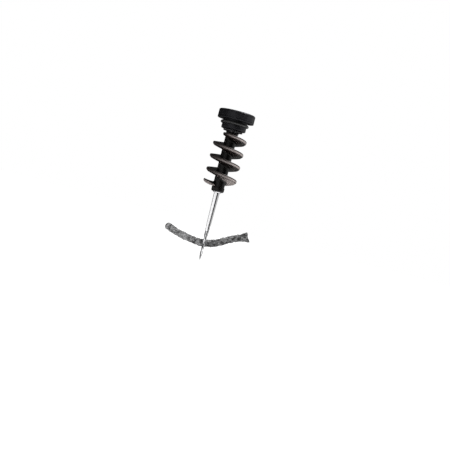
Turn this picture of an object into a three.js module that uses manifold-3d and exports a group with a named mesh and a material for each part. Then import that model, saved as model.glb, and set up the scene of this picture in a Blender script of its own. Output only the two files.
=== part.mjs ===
// Tyre plug insertion tool: a split-eye needle on a slim core with a flexible spiral sleeve, closed by a
// bar-end cap, with a fibre repair plug threaded through the eye. Millimetres, +Z up along the tool's axis.
// The origin is the centre of the cap's outer face, and the needle points down -Z.
import * as THREE from 'three';
import { mergeVertices } from 'three/addons/utils/BufferGeometryUtils.js';
import Module from 'manifold-3d';

const wasm = await Module();
wasm.setup();

// --- Driving dimensions ---------------------------------------------------------------------------

const GAP = 0.3; // between two pieces that would touch
const SEAT_GAP = 0.1; // between a screwed or pinned piece and its seat

// Heights on the axis
const CAP_UNDERSIDE_Z = -5.4; // the flange's seat on the handlebar end
const SPIGOT_END_Z = -11.2;
const SLEEVE_TOP_Z = -12.6;
const NOSE_Z = -50; // the collar's lower end, where the needle comes out
const FERRULE_DROP = 0.5; // how far the metal ring stands out of the nose
const EYE_DROP = 32.1; // from the nose to the plug's centre line
const NEEDLE_DROP = 43; // from the nose to the needle's tip

// Cap
const CAP_RADIUS = 11.3;
const CAP_ROUNDING = 0.9;
const SEAT_RELIEF = 0.3; // the underside steps up beside the spigot, clear of the rubber ring
const SPIGOT_RADIUS = 7.6;
const DISC_RADIUS = 7.2;
const DISC_THICKNESS = 0.9;
const DISC_CHAMFER = 0.15;
const RECESS_DEPTH = 1.2;
const O_RING_RADIUS = 0.85; // of its round section
const O_RING_Z = -7.4;
const O_RING_DEPTH = 0.6; // of its groove
const O_RING_SIDE_GAP = 0.25; // above and below it in the groove
const CHAMFER = 0.4; // on the turned edges

// Screw and washer
const SCREW_HEAD_RADIUS = 3.5;
const SCREW_HEAD_TOP_Z = -1.5;
const SCREW_HEAD_HEIGHT = 3;
const SCREW_RADIUS = 1.95;
const SCREW_LENGTH = 10;
const HEX_ACROSS_FLATS = 3;
const HEX_DEPTH = 1.8;
const WASHER_THICKNESS = 0.5;
const COUNTERBORE_GAP = 0.4; // round the screw's head
const THREAD_GAP = 0.2; // round the screw in the core
const DRILL_ROOM = 1; // below the screw's tip

// Core
const CORE_RADIUS = 2.6;
const CORE_TOP_Z = -7.7;
const SLEEVE_WASHER_RADIUS = 6;
const PIN_RADIUS = 0.5;
const PIN_RISE = 9; // from the nose
const FERRULE_HEIGHT = 3.2; // of its part inside the nose
const NEEDLE_ROOM = 0.5; // above the needle's shank

// Sleeve and its flight
const SLEEVE_RADIUS = 3.65;
const COLLAR_RADIUS = 3.95;
const COLLAR_HEIGHT = 3;
const COLLAR_ROUNDING = 1;
const COLLAR_STEP = 0.3; // the height over which a collar thins to the tube
const TOP_COLLAR_HEIGHT = 0.7;
const FLIGHT_RADIUS = 10;
const FLIGHT_PITCH = 7.87;
const FLIGHT_RIM_THICKNESS = 1.9;
const FLIGHT_ROOT_THICKNESS = 2.5;
const FLIGHT_RIM_BEVEL = 0.9; // how far the rim's lower edge is cut back
const FLIGHT_RIM_CHAMFER = 0.48; // on the rim's upper edge
const FLIGHT_DISH = 0.9; // how far the rim stands above the root
const FLIGHT_LOWEST_LEFT_RISE = 5.05; // the lowest rim point on the -X side, from the nose
const FLIGHT_HANG = 0.75; // how far the soft flight sinks in each of two stages of its lowest turn
const FLIGHT_HANG_TURNS = [[-1.2, 0], [0, 0.3]]; // where the two stages begin and end
const FLIGHT_LEVEL_TURNS = [0.28, 0.53]; // where its end levels out
const FLIGHT_END_RISE = 0.35; // how far its end then stands above an even spiral
const TOP_RUN_OUT_DROP = 1.6; // from the sleeve's top to the flight's upper end
const RUN_OUT_TURN = 62 / 360; // the part of a turn over which the flight's end falls into the tube

// Needle
const NEEDLE_TOP_RADIUS = 1.75; // at the nose
const NEEDLE_WAIST_RADIUS = 1.3; // just above the eye
const SHANK_RADIUS = 1.45;
const SHANK_LENGTH = 14;
const SHANK_CHAMFER = 0.3;
const SHOULDER_RISE = 1.7; // from the nose to where the needle narrows to its shank
const TINE_THICKNESS = 0.9;
const TINE_HALF_WIDTH = 1.05;
const BLADE_SQUARENESS = 0.4;
const TIP_SLIT_HALF = 0.3;
const TIP_HALF_X = 0.08;
const TIP_HALF_Y = 0.36;

// Plug
const PLUG_HALF_HEIGHT = 2.25;
const PLUG_HALF_WIDTH = 1.2;
const PLUG_SIDES = 12;
const PLUG_STEPS = 22;

// --- Helpers --------------------------------------------------------------------------------------

const TURN = 2 * Math.PI;

function ring(angle, radius, z) {
  return [radius * Math.cos(angle), radius * Math.sin(angle), z];
}

// A closed indexed geometry with its shared vertices merged and its empty triangles left out.
function welded(geometry) {
  const bare = new THREE.BufferGeometry();
  bare.setAttribute('position', geometry.getAttribute('position'));
  if (geometry.index) bare.setIndex(geometry.index);
  const merged = mergeVertices(bare, 1e-3);
  const kept = [];
  for (let i = 0; i < merged.index.count; i += 3) {
    const [a, b, c] = [0, 1, 2].map((k) => merged.index.getX(i + k));
    if (a !== b && b !== c && c !== a) kept.push(a, b, c);
  }
  merged.setIndex(kept);
  return merged;
}

function solid(geometry) {
  const closed = welded(geometry);
  const mesh = new wasm.Mesh({
    numProp: 3,
    vertProperties: closed.getAttribute('position').array,
    triVerts: new Uint32Array(closed.index.array),
  });
  return new wasm.Manifold(mesh);
}

function geometryOf(manifold) {
  const mesh = manifold.getMesh();
  const geometry = new THREE.BufferGeometry();
  geometry.setAttribute('position', new THREE.BufferAttribute(mesh.vertProperties, 3));
  geometry.setIndex(new THREE.BufferAttribute(mesh.triVerts, 1));
  const flat = geometry.toNonIndexed();
  flat.computeVertexNormals();
  return flat;
}

// A profile of [radius, z] points turned about the Z axis. It runs up on the outside.
function turned(profile, segments = 40) {
  const points = profile.map(([radius, z]) => new THREE.Vector2(radius, z));
  return new THREE.LatheGeometry(points, segments).rotateX(Math.PI / 2);
}

// A round rod from one height to another, for cutting a round hole.
function rod(radius, lowZ, highZ, segments = 32) {
  return turned([[0, lowZ], [radius, lowZ], [radius, highZ], [0, highZ]], segments);
}

// Points on a quarter circle between two angles, in degrees, as [radius, z].
function arc(centreRadius, centreZ, radius, from, to, steps = 5) {
  return Array.from({ length: steps + 1 }, (_, i) => {
    const angle = THREE.MathUtils.degToRad(from + ((to - from) * i) / steps);
    return [centreRadius + radius * Math.cos(angle), centreZ + radius * Math.sin(angle)];
  });
}

// Closed rings of equal point counts, one after the other, skinned into one body with flat ends.
// Each ring runs anticlockwise as seen from ahead of the rings' path.
function skinned(rings) {
  const count = rings[0].length;
  const index = [];
  for (let i = 0; i + 1 < rings.length; i++) {
    for (let j = 0; j < count; j++) {
      const [a, b] = [i * count + j, i * count + ((j + 1) % count)];
      index.push(a, b, b + count, a, b + count, a + count);
    }
  }
  const last = (rings.length - 1) * count;
  for (let j = 1; j + 1 < count; j++) {
    index.push(0, j + 1, j, last, last + j, last + j + 1);
  }
  const geometry = new THREE.BufferGeometry();
  geometry.setAttribute('position', new THREE.Float32BufferAttribute(rings.flat(2), 3));
  geometry.setIndex(index);
  return geometry;
}

function part(name, geometry, colour, roughness, metalness) {
  const material = new THREE.MeshStandardMaterial({ color: colour, roughness, metalness });
  const mesh = new THREE.Mesh(geometry, material);
  mesh.name = name;
  return mesh;
}

// --- Cap ------------------------------------------------------------------------------------------

const SCREW_SEAT_Z = SCREW_HEAD_TOP_Z - SCREW_HEAD_HEIGHT - WASHER_THICKNESS - 2 * SEAT_GAP;
const SCREW_HOLE_RADIUS = SCREW_RADIUS + GAP;
const CORE_HOLE_RADIUS = CORE_RADIUS + GAP;
const O_RING_CENTRE_RADIUS = SPIGOT_RADIUS - O_RING_DEPTH + O_RING_RADIUS + SEAT_GAP;

// A turned cap: flange and spigot, with the disc's recess, the screw's counterbore and the core's socket.
function endCap() {
  const grooveFloor = SPIGOT_RADIUS - O_RING_DEPTH;
  const grooveHalf = O_RING_RADIUS + O_RING_SIDE_GAP;
  const seatInner = O_RING_CENTRE_RADIUS + O_RING_RADIUS + GAP;
  const socketRoof = CORE_TOP_Z + GAP;
  const counterbore = SCREW_HEAD_RADIUS + COUNTERBORE_GAP;
  const profile = [
    [CORE_HOLE_RADIUS, SPIGOT_END_Z],
    [SPIGOT_RADIUS - CHAMFER, SPIGOT_END_Z],
    [SPIGOT_RADIUS, SPIGOT_END_Z + CHAMFER],
    [SPIGOT_RADIUS, O_RING_Z - grooveHalf],
    [grooveFloor, O_RING_Z - grooveHalf],
    [grooveFloor, O_RING_Z + grooveHalf],
    [SPIGOT_RADIUS, O_RING_Z + grooveHalf],
    [SPIGOT_RADIUS, CAP_UNDERSIDE_Z + SEAT_RELIEF],
    [seatInner, CAP_UNDERSIDE_Z + SEAT_RELIEF],
    [seatInner, CAP_UNDERSIDE_Z],
    [CAP_RADIUS - CHAMFER, CAP_UNDERSIDE_Z],
    [CAP_RADIUS, CAP_UNDERSIDE_Z + CHAMFER],
    ...arc(CAP_RADIUS - CAP_ROUNDING, -CAP_ROUNDING, CAP_ROUNDING, 0, 90),
    [DISC_RADIUS + GAP, 0],
    [DISC_RADIUS + GAP, -RECESS_DEPTH],
    [counterbore, -RECESS_DEPTH],
    [counterbore, SCREW_SEAT_Z],
    [SCREW_HOLE_RADIUS, SCREW_SEAT_Z],
    [SCREW_HOLE_RADIUS, socketRoof],
    [CORE_HOLE_RADIUS, socketRoof],
    [CORE_HOLE_RADIUS, SPIGOT_END_Z],
  ];
  return part('end_cap', turned(profile, 48), 0x15151a, 0.35, 0.8);
}

function capDisc() {
  const profile = [
    [0, -DISC_THICKNESS],
    [DISC_RADIUS, -DISC_THICKNESS],
    [DISC_RADIUS, -DISC_CHAMFER],
    [DISC_RADIUS - DISC_CHAMFER, 0],
    [0, 0],
  ];
  return part('cap_disc', turned(profile, 48), 0x2b2b30, 0.3, 0.9);
}

function capORing() {
  const torus = new THREE.TorusGeometry(O_RING_CENTRE_RADIUS, O_RING_RADIUS, 10, 48);
  return part('cap_o_ring', torus.translate(0, 0, O_RING_Z), 0x101010, 0.6, 0);
}

function capScrew() {
  const headBottom = SCREW_HEAD_TOP_Z - SCREW_HEAD_HEIGHT;
  const tip = headBottom - SCREW_LENGTH;
  const profile = [
    [0, tip],
    [SCREW_RADIUS - CHAMFER, tip],
    [SCREW_RADIUS, tip + CHAMFER],
    [SCREW_RADIUS, headBottom],
    [SCREW_HEAD_RADIUS, headBottom],
    [SCREW_HEAD_RADIUS, SCREW_HEAD_TOP_Z - CHAMFER],
    [SCREW_HEAD_RADIUS - CHAMFER, SCREW_HEAD_TOP_Z],
    [0, SCREW_HEAD_TOP_Z],
  ];
  const hexRadius = HEX_ACROSS_FLATS / Math.sqrt(3);
  const socket = rod(hexRadius, SCREW_HEAD_TOP_Z - HEX_DEPTH, SCREW_HEAD_TOP_Z + 1, 6);
  const screw = solid(turned(profile, 24)).subtract(solid(socket));
  return part('cap_screw', geometryOf(screw), 0x8a8a8e, 0.35, 1);
}

function screwWasher() {
  const top = SCREW_HEAD_TOP_Z - SCREW_HEAD_HEIGHT - SEAT_GAP;
  const bottom = top - WASHER_THICKNESS;
  const inner = SCREW_HOLE_RADIUS;
  const outer = SCREW_HEAD_RADIUS + SEAT_GAP;
  const profile = [[inner, bottom], [outer, bottom], [outer, top], [inner, top], [inner, bottom]];
  return part('screw_washer', turned(profile, 24), 0x9a9a9e, 0.4, 1);
}

// --- Core -----------------------------------------------------------------------------------------

const FERRULE_TOP_Z = NOSE_Z + FERRULE_HEIGHT;
const CORE_LOW_Z = FERRULE_TOP_Z + GAP;
const SHANK_TOP_Z = NOSE_Z + SHANK_LENGTH;
const PIN_Z = NOSE_Z + PIN_RISE;

// A cross hole along the X axis at the pin's height.
function pinHole() {
  return solid(rod(PIN_RADIUS + GAP, -10, 10, 16).rotateY(Math.PI / 2).translate(0, 0, PIN_Z));
}

function coreShaft() {
  const screwTip = SCREW_HEAD_TOP_Z - SCREW_HEAD_HEIGHT - SCREW_LENGTH;
  const screwBore = SCREW_RADIUS + THREAD_GAP;
  const screwFloor = screwTip - DRILL_ROOM;
  const needleBore = SHANK_RADIUS + GAP;
  const needleRoof = SHANK_TOP_Z + NEEDLE_ROOM;
  const profile = [
    [0, needleRoof],
    [needleBore, needleRoof],
    [needleBore, CORE_LOW_Z],
    [CORE_RADIUS, CORE_LOW_Z],
    [CORE_RADIUS, CORE_TOP_Z - CHAMFER],
    [CORE_RADIUS - CHAMFER / 2, CORE_TOP_Z],
    [screwBore, CORE_TOP_Z],
    [screwBore, screwFloor],
    [0, screwFloor],
  ];
  const shaft = solid(turned(profile, 32)).subtract(pinHole());
  return part('core_shaft', geometryOf(shaft), 0x9c9ca0, 0.4, 0.9);
}

function needlePin() {
  const half = CORE_RADIUS - SEAT_GAP;
  const pin = rod(PIN_RADIUS, -half, half, 12).rotateY(Math.PI / 2).translate(0, 0, PIN_Z);
  return part('needle_pin', pin, 0x8a8a8e, 0.35, 1);
}

function noseFerrule() {
  const inner = NEEDLE_TOP_RADIUS + GAP;
  const face = NOSE_Z - FERRULE_DROP;
  const profile = [
    [inner, face + CHAMFER / 2],
    [inner + CHAMFER / 2, face],
    ...arc(CORE_RADIUS - CHAMFER, face + CHAMFER, CHAMFER, -90, 0, 3),
    [CORE_RADIUS, FERRULE_TOP_Z],
    [inner, FERRULE_TOP_Z],
    [inner, face + CHAMFER / 2],
  ];
  return part('nose_ferrule', turned(profile, 32), 0xc9c9cc, 0.3, 1);
}

function sleeveWasher() {
  const bottom = SLEEVE_TOP_Z + GAP;
  const top = SPIGOT_END_Z - GAP;
  const outer = SLEEVE_WASHER_RADIUS;
  const profile = [
    [CORE_HOLE_RADIUS, bottom],
    [outer, bottom],
    [outer, top],
    [CORE_HOLE_RADIUS, top],
    [CORE_HOLE_RADIUS, bottom],
  ];
  return part('sleeve_washer', turned(profile, 36), 0x1c1c1e, 0.5, 0);
}

// --- Spiral sleeve --------------------------------------------------------------------------------

// How far the soft flight hangs below an even spiral. It sinks over its lowest turn, then levels out.
function flightHang(turn) {
  const { smoothstep } = THREE.MathUtils;
  const [first, second] = FLIGHT_HANG_TURNS.map(([from, to]) => smoothstep(turn, from, to));
  const hang = FLIGHT_HANG * (first + second);
  const level = smoothstep(turn, ...FLIGHT_LEVEL_TURNS);
  return hang * (1 - level) - FLIGHT_END_RISE * level;
}

// The flight's section in a plane through the axis: thicker at the root, dished upwards, and bevelled
// below at its rim. Its reach is 1 for the whole flight, and 0 where it has run out into the tube.
function flightSection(reach) {
  const root = (SLEEVE_RADIUS + CORE_HOLE_RADIUS) / 2;
  const outer = THREE.MathUtils.lerp(SLEEVE_RADIUS, FLIGHT_RADIUS, reach);
  const thin = Math.sqrt(reach);
  const rimHalf = (FLIGHT_RIM_THICKNESS / 2) * thin;
  const rootHalf = (FLIGHT_ROOT_THICKNESS / 2) * thin;
  const chamfer = FLIGHT_RIM_CHAMFER * thin;
  const lift = (radius) => FLIGHT_DISH * (((radius - root) / (FLIGHT_RADIUS - root)) ** 2 - 1);
  const middle = (root + outer) / 2;
  return [
    [root, lift(root) - rootHalf],
    [middle, lift(middle) - (rimHalf + rootHalf) / 2],
    [outer - FLIGHT_RIM_BEVEL * reach, lift(outer) - rimHalf],
    [outer, lift(outer)],
    [outer, lift(outer) + rimHalf - chamfer],
    [outer - chamfer, lift(outer) + rimHalf],
    [middle, lift(middle) + (rimHalf + rootHalf) / 2],
    [root, lift(root) + rootHalf],
  ];
}

// The flight is left-handed: going down, it turns anticlockwise as seen from above. Turns are counted
// from +X, so its lowest rim point on the -X side is at half a turn.
function helixFlight() {
  const stepsPerTurn = 32;
  const leastReach = 0.02;
  const lowestLeftZ = NOSE_Z + FLIGHT_LOWEST_LEFT_RISE;
  const lowTurn = 0.5 + RUN_OUT_TURN;
  const highTurn = 0.5 - (SLEEVE_TOP_Z - TOP_RUN_OUT_DROP - lowestLeftZ) / FLIGHT_PITCH;
  const steps = Math.round((lowTurn - highTurn) * stepsPerTurn);
  const rings = [];
  for (let i = 0; i <= steps; i++) {
    const turn = highTurn + ((lowTurn - highTurn) * i) / steps;
    const fromEnd = Math.min(turn - highTurn, lowTurn - turn);
    const end = THREE.MathUtils.clamp(fromEnd / RUN_OUT_TURN, leastReach, 1);
    const z = lowestLeftZ - (turn - 0.5) * FLIGHT_PITCH - flightHang(turn);
    const section = flightSection(Math.sqrt(end * (2 - end)));
    rings.push(section.map(([radius, dz]) => ring(turn * TURN, radius, z + dz)).reverse());
  }
  return skinned(rings);
}

function helixSleeve() {
  const inner = CORE_HOLE_RADIUS;
  const collarTop = NOSE_Z + COLLAR_HEIGHT;
  const shell = [
    [inner, NOSE_Z],
    ...arc(COLLAR_RADIUS - COLLAR_ROUNDING, NOSE_Z + COLLAR_ROUNDING, COLLAR_ROUNDING, -90, 0),
    [COLLAR_RADIUS, collarTop - COLLAR_STEP],
    [SLEEVE_RADIUS, collarTop],
    [SLEEVE_RADIUS, SLEEVE_TOP_Z - TOP_COLLAR_HEIGHT - COLLAR_STEP],
    [COLLAR_RADIUS, SLEEVE_TOP_Z - TOP_COLLAR_HEIGHT],
    [COLLAR_RADIUS, SLEEVE_TOP_Z],
    [inner, SLEEVE_TOP_Z],
    [inner, NOSE_Z],
  ];
  const sleeve = solid(turned(shell, 32)).add(solid(helixFlight()));
  return part('helix_sleeve', geometryOf(sleeve), 0x1a1210, 0.28, 0);
}

// --- Needle ---------------------------------------------------------------------------------------

const SLOT_HALF = PLUG_HALF_WIDTH + GAP;
const SLOT_TOP_DROP = EYE_DROP - PLUG_HALF_HEIGHT - 2.3; // room for the plug's own waves as it slides
const SLOT_LOW_DROP = EYE_DROP + PLUG_HALF_HEIGHT + 2.4;

// The needle's outline: [drop below the nose, half width along X, half width along Y].
function needleStations() {
  const eyeHalf = SLOT_HALF + TINE_THICKNESS;
  return [
    [0, NEEDLE_TOP_RADIUS, NEEDLE_TOP_RADIUS],
    [12, 1.5, 1.5],
    [SLOT_TOP_DROP - 4, NEEDLE_WAIST_RADIUS, NEEDLE_WAIST_RADIUS],
    [SLOT_TOP_DROP - 2, 1.22, 1.45],
    [SLOT_TOP_DROP, 1.12, 2],
    [SLOT_TOP_DROP + 2, TINE_HALF_WIDTH, eyeHalf],
    [EYE_DROP + 1, TINE_HALF_WIDTH, eyeHalf],
    [SLOT_LOW_DROP - 1.4, 0.96, eyeHalf - 0.25],
    [SLOT_LOW_DROP + 0.6, 0.9, 1.6],
    [SLOT_LOW_DROP + 2.6, 0.78, 1.05],
    [NEEDLE_DROP - 2, 0.56, 0.72],
    [NEEDLE_DROP - 0.5, 0.3, 0.42],
  ];
}

function needleBody() {
  const sides = 24;
  const path = new THREE.CatmullRomCurve3(
    needleStations().map((station) => new THREE.Vector3(...station)), false, 'centripetal');
  const outline = (halfX, halfY, z) => Array.from({ length: sides }, (_, j) => {
    const angle = (-TURN * j) / sides;
    // Round where the two halves are equal, and squarer the flatter it is.
    const power = 1 - BLADE_SQUARENESS * THREE.MathUtils.clamp(halfY / halfX - 1, 0, 1);
    const [x, y] = [Math.cos(angle), Math.sin(angle)].map((v) => Math.sign(v) * Math.abs(v) ** power);
    return [halfX * x, halfY * y, z];
  });
  const rings = [
    outline(SHANK_RADIUS - SHANK_CHAMFER, SHANK_RADIUS - SHANK_CHAMFER, SHANK_TOP_Z),
    outline(SHANK_RADIUS, SHANK_RADIUS, SHANK_TOP_Z - SHANK_CHAMFER),
    outline(SHANK_RADIUS, SHANK_RADIUS, NOSE_Z + SHOULDER_RISE + GAP),
    outline(NEEDLE_TOP_RADIUS, NEEDLE_TOP_RADIUS, NOSE_Z + SHOULDER_RISE),
  ];
  const steps = 30;
  for (let i = 0; i <= steps; i++) {
    const { x: drop, y: halfX, z: halfY } = path.getPoint(i / steps);
    rings.push(outline(halfX, halfY, NOSE_Z - drop));
  }
  rings.push(outline(TIP_HALF_X, TIP_HALF_Y, NOSE_Z - NEEDLE_DROP));
  return skinned(rings);
}

// The eye and the slit below it, cut right through along X.
function eyeCutter() {
  const top = NOSE_Z - SLOT_TOP_DROP - SLOT_HALF;
  const low = NOSE_Z - SLOT_LOW_DROP;
  const full = low + 1.2; // the eye has its full width down to here
  const waist = low - 0.5;
  const slitTop = low - 1.5;
  const tip = NOSE_Z - NEEDLE_DROP - 1;
  const depth = 8;
  const outline = new THREE.Shape();
  outline.moveTo(-TIP_SLIT_HALF, tip);
  outline.lineTo(TIP_SLIT_HALF, tip);
  outline.lineTo(TIP_SLIT_HALF, slitTop);
  outline.quadraticCurveTo(SLOT_HALF, waist, SLOT_HALF, full);
  outline.lineTo(SLOT_HALF, top);
  outline.absarc(0, top, SLOT_HALF, 0, Math.PI, false);
  outline.lineTo(-SLOT_HALF, full);
  outline.quadraticCurveTo(-SLOT_HALF, waist, -TIP_SLIT_HALF, slitTop);
  const cutter = new THREE.ExtrudeGeometry(outline, { depth, bevelEnabled: false, curveSegments: 6 });
  // The outline's x and y become Y and Z, and its depth runs along X.
  const turn = new THREE.Matrix4().makeBasis(
    new THREE.Vector3(0, 1, 0), new THREE.Vector3(0, 0, 1), new THREE.Vector3(1, 0, 0));
  return cutter.applyMatrix4(turn).translate(-depth / 2, 0, 0);
}

function needle() {
  const cut = solid(needleBody()).subtract(solid(eyeCutter())).subtract(pinHole());
  return part('needle', geometryOf(cut), 0xd4d4d6, 0.22, 1);
}

// --- Repair plug ----------------------------------------------------------------------------------

// The plug's centre line in the XZ plane, as [x, drop below the nose], from its left end to its right.
const PLUG_ROUTE = [
  [-25.4, 26.9], [-22, 28.3], [-19, 29.4], [-16.3, 30.2], [-13.7, 30.8], [-10.7, 31.4], [-7.8, 31.8],
  [-5.3, 32.2], [-2.8, 32.4], [-0.4, 32.3], [2, 31.9], [4.6, 31.3], [7.2, 30.4], [9.4, 29.3], [11.5, 28.1],
  [14, 26.7], [16.5, 25.5], [18.7, 24.5], [20.9, 23.7], [23.1, 22.9], [25.2, 22.1],
];

function repairPlug() {
  const points = PLUG_ROUTE.map(([x, drop]) => new THREE.Vector3(x, 0, NOSE_Z - drop));
  const route = new THREE.CatmullRomCurve3(points, false, 'centripetal');
  const section = new THREE.Shape();
  for (let i = 0; i < PLUG_SIDES; i++) {
    const angle = (TURN * i) / PLUG_SIDES;
    const [u, v] = [PLUG_HALF_WIDTH * Math.cos(angle), PLUG_HALF_HEIGHT * Math.sin(angle)];
    if (i === 0) section.moveTo(u, v);
    else section.lineTo(u, v);
  }
  section.closePath();
  const tube = new THREE.ExtrudeGeometry(section, { steps: PLUG_STEPS, extrudePath: route });
  return part('repair_plug', tube, 0x8f8f8f, 0.9, 0);
}

// --- Assembly -------------------------------------------------------------------------------------

const group = new THREE.Group();
group.add(
  endCap(), capDisc(), capORing(), capScrew(), screwWasher(),
  coreShaft(), needlePin(), noseFerrule(), sleeveWasher(),
  helixSleeve(), needle(), repairPlug(),
);

export default group;
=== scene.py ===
"""Looks of the tyre plug insertion tool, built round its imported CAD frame.

Shapes are worked out in millimetres, like the design, and scaled to metres when their mesh is made.
The tool's axis is Z, its needle points down, and the plug lies in the XZ plane.
"""
import math

import bmesh
import bpy
import numpy as np
from mathutils import Matrix, Vector, noise


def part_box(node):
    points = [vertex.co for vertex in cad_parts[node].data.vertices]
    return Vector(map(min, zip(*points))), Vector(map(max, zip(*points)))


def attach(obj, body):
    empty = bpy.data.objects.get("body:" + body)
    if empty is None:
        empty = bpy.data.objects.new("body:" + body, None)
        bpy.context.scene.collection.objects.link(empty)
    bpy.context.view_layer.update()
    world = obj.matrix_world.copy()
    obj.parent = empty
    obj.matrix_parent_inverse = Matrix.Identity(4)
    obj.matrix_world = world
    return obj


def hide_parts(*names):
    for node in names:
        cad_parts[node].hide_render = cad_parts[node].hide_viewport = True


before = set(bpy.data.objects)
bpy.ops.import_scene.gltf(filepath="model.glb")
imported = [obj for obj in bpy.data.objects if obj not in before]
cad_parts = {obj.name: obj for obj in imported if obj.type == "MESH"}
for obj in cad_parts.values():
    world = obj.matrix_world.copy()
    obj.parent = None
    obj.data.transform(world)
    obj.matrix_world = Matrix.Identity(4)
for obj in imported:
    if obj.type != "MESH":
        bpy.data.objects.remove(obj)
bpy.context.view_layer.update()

MM = 0.001
TURN = 2 * math.pi


def edge_mm(node, corner):
    """The height in millimetres of a CAD node's lowest (0) or highest (1) point."""
    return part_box(node)[corner].z / MM


# --- Dimensions, in millimetres ----------------------------------------------------------------------

NOSE_Z = edge_mm("helix_sleeve", 0)
SLEEVE_TOP_Z = edge_mm("helix_sleeve", 1)
NEEDLE_TIP_Z = edge_mm("needle", 0)
SHANK_TOP_Z = edge_mm("needle", 1)
CAP_LOW_Z = edge_mm("end_cap", 0)

# The gap between pieces that touch in the real tool.
GAP = 0.3

CAP_UNDERSIDE_Z = -5.4
CAP_RADIUS = 11.3
CAP_EDGE_RADIUS = 0.9
CAP_LINE_DEPTH = 0.16
CAP_LINE_HEIGHTS = (CAP_UNDERSIDE_Z + 0.85, -1.35)
SPIGOT_RADIUS = 7.6
SPIGOT_EDGE_RADIUS = 0.5
SEAT_RELIEF = 0.3
O_RING_RADIUS = 0.85
O_RING_DEPTH = 0.6
O_RING_SIDE_GAP = 0.25
O_RING_CENTRE_RADIUS = SPIGOT_RADIUS - O_RING_DEPTH + O_RING_RADIUS + 0.1
O_RING_Z = -7.4
DISC_RADIUS = 7.2
DISC_THICKNESS = 0.9
DISC_EDGE_RADIUS = 0.18
DISC_LINE_DEPTH = 0.06
DISC_SEAT_Z = -1.2
SCREW_HEAD_BORE_RADIUS = 3.9
SCREW_HEAD_SEAT_Z = -5.2
SCREW_BORE_RADIUS = 2.25
CORE_BORE_TOP_Z = -7.4
WASHER_RADIUS = 6
WASHER_EDGE_RADIUS = 0.2

CORE_RADIUS = 2.6
SLEEVE_RADIUS = 3.65
COLLAR_RADIUS = 3.95
COLLAR_HEIGHT = 3
TOP_COLLAR_HEIGHT = 1
NOSE_ROUNDING = 1
FERRULE_ROUNDING = 0.38
FLIGHT_RADIUS = 10
FLIGHT_PITCH = 7.87
FLIGHT_RIM_THICKNESS = 1.9
FLIGHT_ROOT_THICKNESS = 2.5
FLIGHT_RIM_BEVEL = 0.9
FLIGHT_DISH = 0.9
FLIGHT_LOWEST_LEFT_Z = NOSE_Z + 5.05
# The flight's last turn hangs below an even spiral, first slowly and then quickly, and levels out.
FLIGHT_HANG = 0.75
FLIGHT_SLOW_HANG_TURNS = 1.2
FLIGHT_QUICK_HANG_TURNS = 0.3
FLIGHT_LEVEL_FROM = 0.28
FLIGHT_LEVEL_TURNS = 0.25
FLIGHT_END_RISE = 0.35
RUN_OUT_TURN = 62 / 360

# A drop is measured down from the nose.
NEEDLE_TOP_RADIUS = 1.75
NEEDLE_WAIST_RADIUS = 1.3
SHANK_RADIUS = 1.45
SHANK_CHAMFER = 0.3
SHOULDER_RISE = 2
EYE_DROP = 32.1
EYE_EDGE_ROUNDING = 0.16
SLOT_HALF = 1.5
TINE_THICKNESS = 0.9
TINE_HALF_WIDTH = 1.05
TIP_SLIT_HALF = 0.3
BLADE_SQUARENESS = 0.2

PLUG_HALF_HEIGHT = 2.12
PLUG_HALF_WIDTH = 1.12
PLUG_DIAMETER = 4.5
PLUG_PLIES = 3
PLUG_LAY = 9.5
PLUG_ROUND_END = 1.7
PLUG_SPREAD_END = 6.2
PLUG_FIBRES = 620
FIBRE_SEED = 11
FIBRE_SEGMENTS, FIBRE_SIDES = 5, 3
# The plug's centre line in the XZ plane, as (x, drop below the nose), from its left end to its right.
PLUG_ROUTE = [
    (-25.4, 26.9), (-22, 28.3), (-19, 29.4), (-16.3, 30.2), (-13.7, 30.8), (-10.7, 31.4), (-7.8, 31.8),
    (-5.3, 32.2), (-2.8, 32.4), (-0.4, 32.3), (2, 31.9), (4.6, 31.3), (7.2, 30.4), (9.4, 29.3),
    (11.5, 28.1), (14, 26.7), (16.5, 25.5), (18.7, 24.5), (20.9, 23.7), (23.1, 22.9), (25.2, 22.1),
]

# The eye's slot has room above and below the plug.
SLOT_TOP_DROP = EYE_DROP - PLUG_DIAMETER / 2 - 2.3
SLOT_LOW_DROP = EYE_DROP + PLUG_DIAMETER / 2 + 2.4

FLOOR_DROP = 8


# --- Camera and light, in metres, degrees and watts --------------------------------------------------

CAMERA_LEAN = 14.5
CAMERA_DISTANCE = 0.648
CAMERA_AIM = (0.0097, 0, -0.0684)
CAMERA_LENS_MM = 85
SENSOR_WIDTH_MM = 36

FLOOR_GLOW_NEAR, FLOOR_GLOW_FAR = 0.45, 1.2
FLAG_RADIUS = 0.33
FLAG_FROM, FLAG_TO = 8, 70
FLAG_LOW, FLAG_HIGH = -0.1, 0.25

# Each light's name, place, aim, size and power.
LIGHTS = [
    ("top", (-0.05, -0.1, 0.6), (0, 0, -0.08), (0.9, 0.9), 1.5),
    ("low_left", (-0.116, -0.287, -0.07), (0, 0, -0.07), (0.36, 0.055), 0.09),
    ("low_back_left", (-0.307, -0.043, -0.07), (0, 0, -0.07), (0.36, 0.055), 0.09),
    ("left", (-0.155, -0.291, 0.012), (0, 0, -0.07), (0.3, 0.085), 0.027),
    ("high_left", (-0.155, -0.291, 0.09), (0, 0, -0.07), (0.3, 0.07), 0.08),
    ("key", (0.3, -0.15, 0.42), (0, 0, -0.04), (0.35, 0.35), 5),
]


# --- Camera ------------------------------------------------------------------------------------------

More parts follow.
